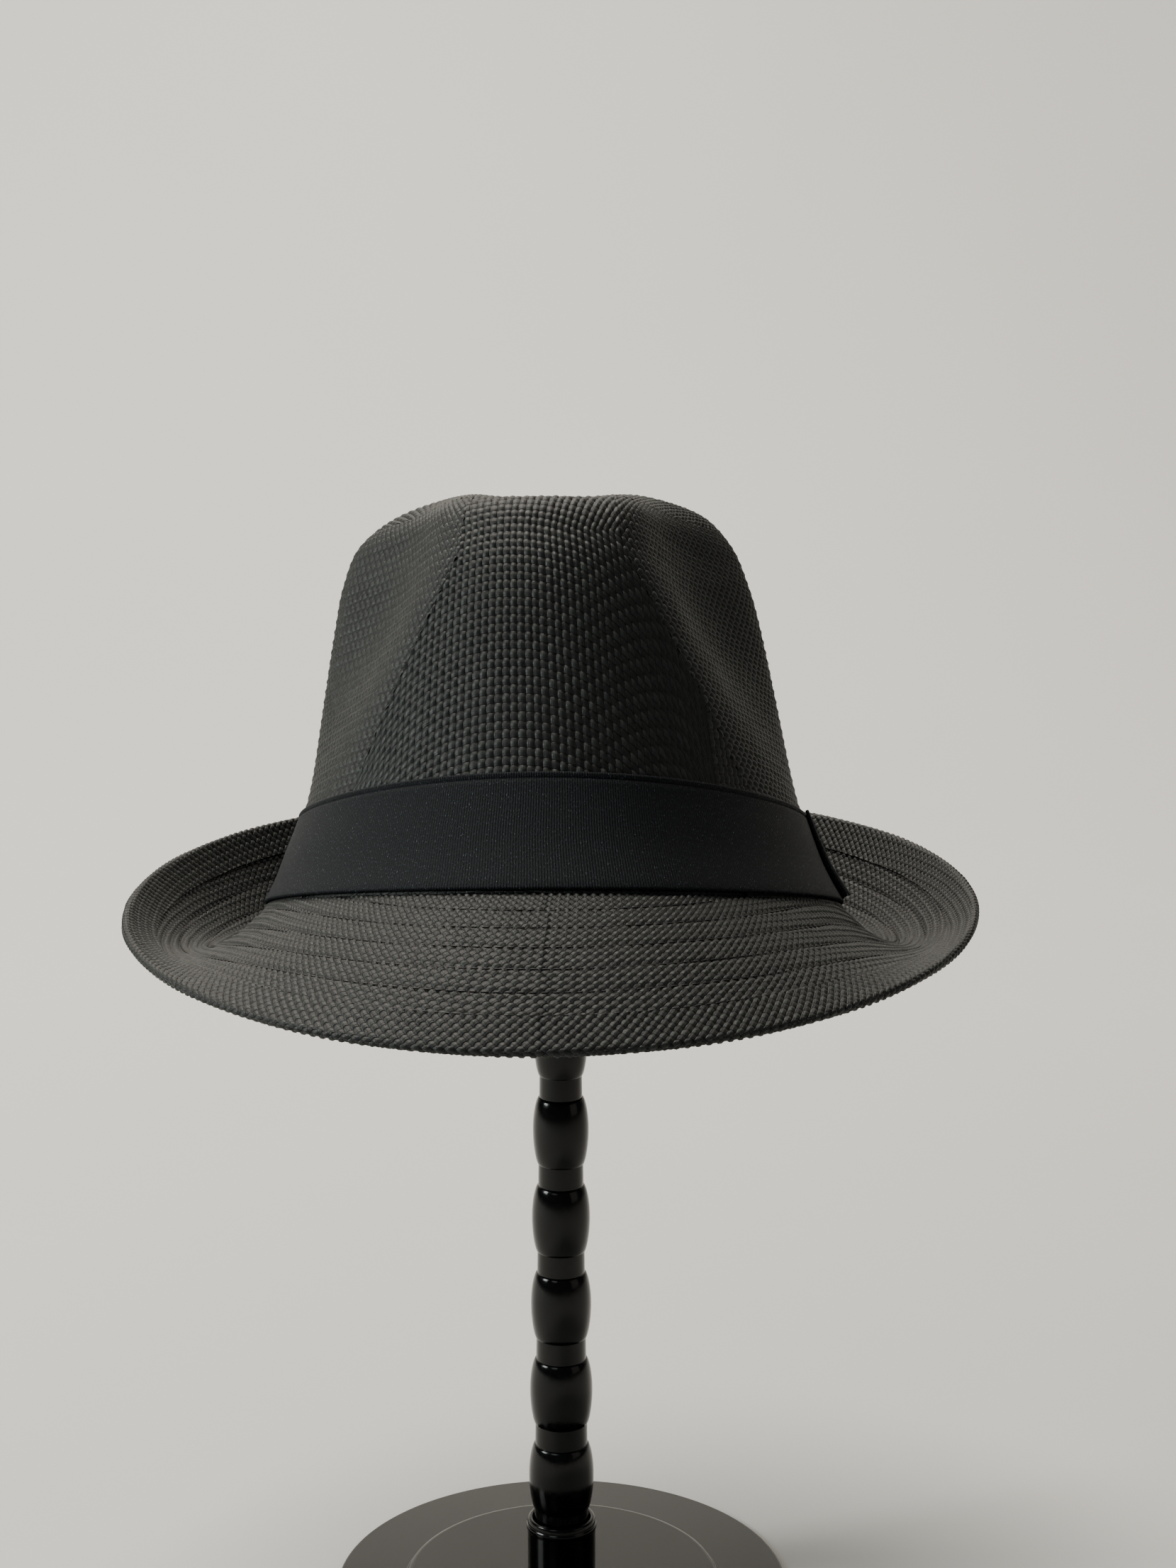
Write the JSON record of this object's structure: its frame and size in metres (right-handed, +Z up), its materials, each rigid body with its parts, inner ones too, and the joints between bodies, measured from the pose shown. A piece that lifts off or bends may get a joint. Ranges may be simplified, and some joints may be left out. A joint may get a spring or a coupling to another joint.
{
  "type": "straw fedora on a turned hat stand",
  "caption": "Black woven straw fedora with a pinched crown, snapped front brim, ribbon band and side bow, tipped back on a slim beaded stand with a round base.",
  "frame": {"origin": "middle of the underside of the stand's base, on the column's axis", "axes": "+Z up along the column, the hat's front towards -Y, +X to the right of a viewer in front of it, which is the wearer's left"},
  "size_m": [0.2611, 0.3062, 0.3542],
  "materials": {
    "straw": "black plain-woven paper straw, slight sheen",
    "ribbon": "blue-black ribbon, fine ribs",
    "lacquer": "black gloss lacquer"
  },
  "bodies": {
    "root": {"crown": "straw", "brim": "straw", "hatband": "ribbon", "bow_front_loop": "ribbon", "bow_knot": "ribbon", "bow_back_loop": "ribbon", "hat_rest": "lacquer", "column": "lacquer", "socket": "lacquer", "base": "lacquer"}
  },
  "joints": []
}
